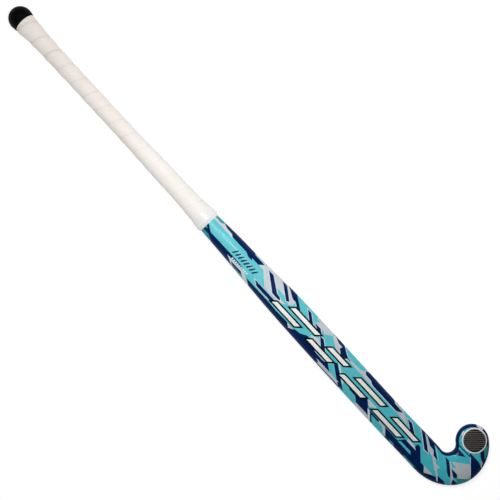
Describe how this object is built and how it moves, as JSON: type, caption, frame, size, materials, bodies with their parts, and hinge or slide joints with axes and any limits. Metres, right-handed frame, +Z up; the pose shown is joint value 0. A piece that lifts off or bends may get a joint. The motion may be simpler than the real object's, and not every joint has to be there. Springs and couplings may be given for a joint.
{
  "type": "field hockey stick",
  "caption": "Adult composite field hockey stick with a low bow, hooked head, flat playing face, domed back, wound white grip and black rubber butt cap.",
  "frame": {"origin": "bottom centre of the stick's bounding box, on the surface the stick lies on, face down", "axes": "+X runs from the butt to the heel along the shaft, +Y across towards the toe, +Z up out of the rounded back"},
  "size_m": [0.927, 0.1118, 0.0428],
  "materials": {
    "lacquered_composite": "clear-lacquered graphic wrap in aqua, navy and grey shards",
    "carbon_laminate": "raw cured laminate",
    "nylon_film": "thin translucent film",
    "foam": "rigid closed-cell foam",
    "aramid_laminate": "woven reinforcement set in resin",
    "black_rubber": "matte moulded",
    "cushion_foam": "soft cushion foam",
    "white_grip_tape": "fine-grained polyurethane tape, matte",
    "white_finishing_tape": "glossy stretched tape",
    "white_film": "white printed film with a black outline",
    "dark_badge_film": "dark printed film with a white ring"
  },
  "bodies": {
    "root": {"composite_skin": "lacquered_composite", "toe_side_tube": "carbon_laminate", "heel_side_tube": "carbon_laminate", "toe_side_bladder": "nylon_film", "heel_side_bladder": "nylon_film", "head_foam_core": "foam", "face_reinforcement_patch": "aramid_laminate", "handle_plug": "foam", "butt_cap": "black_rubber", "grip_underlay": "cushion_foam", "grip_tape": "white_grip_tape", "grip_end_collar": "white_finishing_tape", "upper_bar_decal_1": "white_film", "upper_bar_decal_2": "white_film", "upper_bar_decal_3": "white_film", "upper_bar_decal_4": "white_film", "lower_bar_decal_1": "white_film", "lower_bar_decal_2": "white_film", "lower_bar_decal_3": "white_film", "lower_bar_decal_4": "white_film", "toe_badge": "dark_badge_film"}
  },
  "joints": []
}
